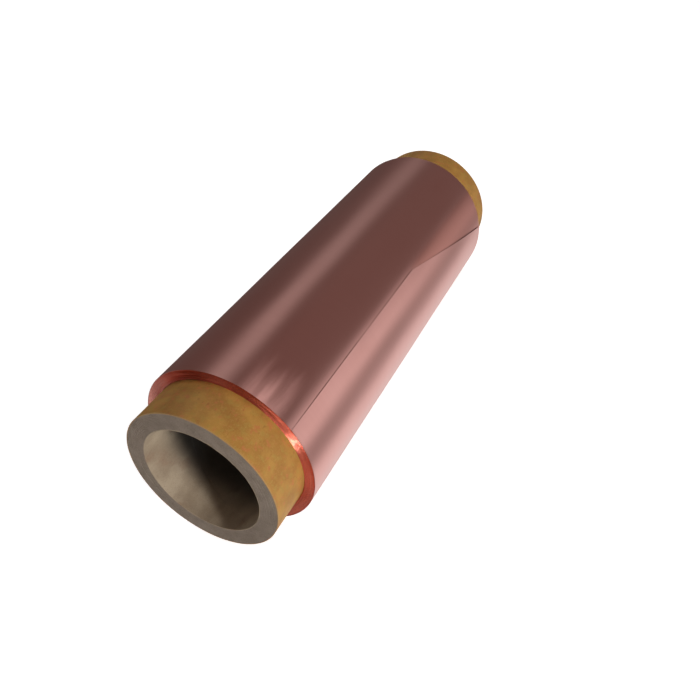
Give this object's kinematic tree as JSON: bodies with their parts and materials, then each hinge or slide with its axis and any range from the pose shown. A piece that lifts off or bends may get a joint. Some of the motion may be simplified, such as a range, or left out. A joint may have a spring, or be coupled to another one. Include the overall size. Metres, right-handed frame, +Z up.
{
  "type": "copper foil roll",
  "caption": "Wide web of thin copper foil wound on a thick-walled spiral paper core, lying on its side, with a loose end that lifts.",
  "frame": {"origin": "on the bore axis, halfway along the core", "axes": "+Y along the bore axis, from the near end with the shorter bare core to the far end; +Z up; the roll lies on its side"},
  "size_m": [0.1146, 0.35, 0.1144],
  "materials": {
    "copper_foil": "satin rolled copper, pinkish brown",
    "kraft_wrap": "golden-brown kraft paper, matt",
    "core_board": "grey-brown core board, matt cut edge",
    "liner_paper": "smooth grey-beige paper",
    "tape": "translucent double-sided tape"
  },
  "bodies": {
    "roll": {"core_inner_liner": "liner_paper", "core_board_ply_01": "core_board", "core_board_ply_02": "core_board", "core_board_ply_03": "core_board", "core_board_ply_04": "core_board", "core_board_ply_05": "core_board", "core_board_ply_06": "core_board", "core_board_ply_07": "core_board", "core_board_ply_08": "core_board", "core_board_ply_09": "core_board", "core_board_ply_10": "core_board", "core_board_ply_11": "core_board", "core_outer_wrap": "kraft_wrap", "starter_tape": "tape", "foil_winding": "copper_foil", "foil_outer_turn": "copper_foil"},
    "loose_end": {"foil_loose_end": "copper_foil"}
  },
  "joints": [
    {"name": "loose_end_lift", "type": "hinge", "parent": "roll", "child": "loose_end", "pos_m": [0.0573, 0, 0.003], "axis": [0, 1, 0], "range_deg": [0, 60]}
  ]
}
